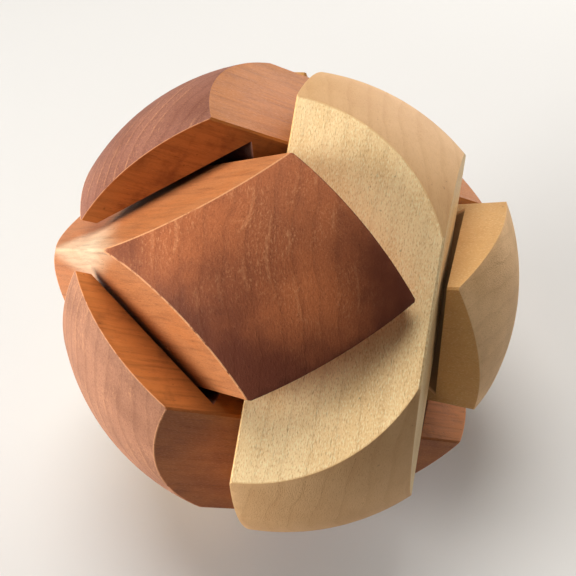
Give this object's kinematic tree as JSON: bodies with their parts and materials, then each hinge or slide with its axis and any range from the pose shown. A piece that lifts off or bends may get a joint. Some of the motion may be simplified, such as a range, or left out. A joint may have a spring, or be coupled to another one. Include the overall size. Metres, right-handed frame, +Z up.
{
  "type": "burr puzzle",
  "caption": "Ball-shaped wooden diagonal burr puzzle: interlocking notched square sticks with turned ends that slide outward together to open.",
  "frame": {"origin": "on the table under the centre of the ball, where it stands on the corners of three end caps", "axes": "+Z up along the body diagonal of the ball, -Y towards the front brown stick's end cap, +X to the right"},
  "size_m": [0.0696, 0.0732, 0.0682],
  "materials": {
    "brown_wood": "sanded, thin matt oil",
    "maple_wood": "sanded, thin matt oil"
  },
  "bodies": {
    "hidden_maple": {"hidden_maple_stick": "maple_wood"},
    "tall_maple": {"tall_maple_stick": "maple_wood"},
    "front_brown": {"front_brown_stick": "brown_wood"},
    "upper_brown": {"upper_brown_stick": "brown_wood"},
    "lower_brown": {"lower_brown_stick": "brown_wood"},
    "right_maple": {"right_maple_stick": "maple_wood"}
  },
  "joints": [
    {"name": "tall_maple_slide", "type": "slide", "parent": "hidden_maple", "child": "tall_maple", "axis": [0.4082, -0.7071, 0.5774], "range_m": [0, 0.026]},
    {"name": "front_brown_slide", "type": "slide", "parent": "hidden_maple", "child": "front_brown", "axis": [-0.2887, -0.5, 0.8165], "range_m": [0, 0.0184]},
    {"name": "upper_brown_slide", "type": "slide", "parent": "hidden_maple", "child": "upper_brown", "axis": [0.5774, 0, 0.8165], "range_m": [0, 0.0184]},
    {"name": "lower_brown_slide", "type": "slide", "parent": "hidden_maple", "child": "lower_brown", "axis": [0, -1, 0], "range_m": [0, 0.0184]},
    {"name": "right_maple_slide", "type": "slide", "parent": "hidden_maple", "child": "right_maple", "axis": [0.866, -0.5, 0], "range_m": [0, 0.0184]}
  ],
  "couplings": [
    {"joint": "front_brown_slide", "follows": "tall_maple_slide", "ratio": 0.70711},
    {"joint": "upper_brown_slide", "follows": "tall_maple_slide", "ratio": 0.70711},
    {"joint": "lower_brown_slide", "follows": "tall_maple_slide", "ratio": 0.70711},
    {"joint": "right_maple_slide", "follows": "tall_maple_slide", "ratio": 0.70711}
  ]
}
